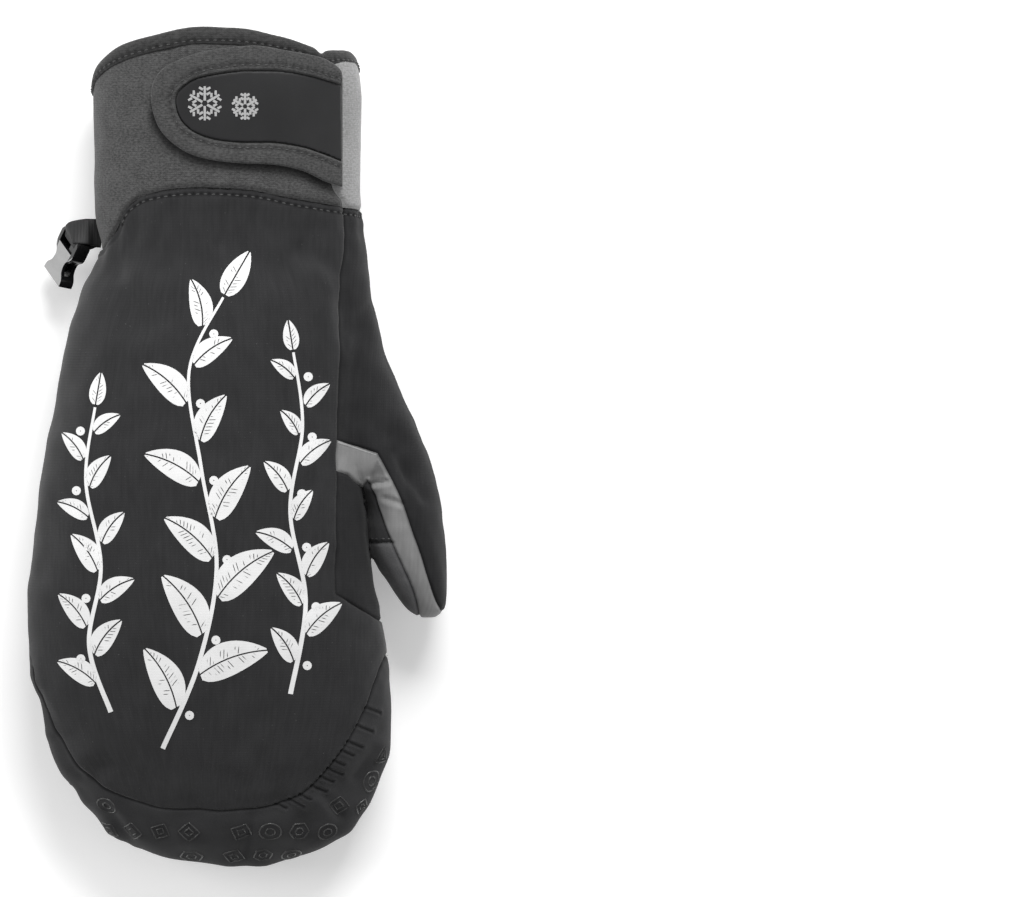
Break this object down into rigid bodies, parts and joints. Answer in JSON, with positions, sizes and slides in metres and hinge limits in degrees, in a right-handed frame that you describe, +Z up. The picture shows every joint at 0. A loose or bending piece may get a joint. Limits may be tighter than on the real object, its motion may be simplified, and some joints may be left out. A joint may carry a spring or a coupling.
{
  "type": "snowboard mitten",
  "caption": "Under-cuff snowboard mitten for the right hand, padded shell with a separate thumb, knitted cuff, closure strap and a small buckle on webbing.",
  "frame": {"origin": "on the ground under the middle of the palm, on the flattened face that the mitten rests on", "axes": "+X across the hand towards the thumb, +Y from the fingertips to the cuff's mouth, +Z up out of the back of the hand"},
  "size_m": [0.1378, 0.2785, 0.0583],
  "materials": {
    "shell_fabric": "fine plain-woven polyester soft shell with a faint sheen",
    "palm_fabric": "dull coated palm fabric with glossy raised silicone shapes",
    "contrast_fabric": "light grey woven fabric",
    "cuff_knit": "heather dark grey foam-backed knit",
    "gusset_knit": "light grey heather stretch knit",
    "binding_fabric": "matt stretch binding, stitched",
    "strap_fabric": "soft padded knit border",
    "patch_fabric": "smooth matt coated patch",
    "webbing": "black woven webbing",
    "buckle_plastic": "moulded plastic, satin"
  },
  "bodies": {
    "root": {"back_shell": "shell_fabric", "side_panel": "shell_fabric", "thumb_outer": "shell_fabric", "palm_shell": "palm_fabric", "thumb_palm": "palm_fabric", "thumb_strip": "contrast_fabric", "cuff": "cuff_knit", "cuff_gusset": "gusset_knit", "cuff_binding": "binding_fabric", "gusset_binding": "binding_fabric", "closure_strap": "strap_fabric", "strap_patch": "patch_fabric", "webbing_loop": "webbing", "buckle_socket": "buckle_plastic"}
  },
  "joints": []
}
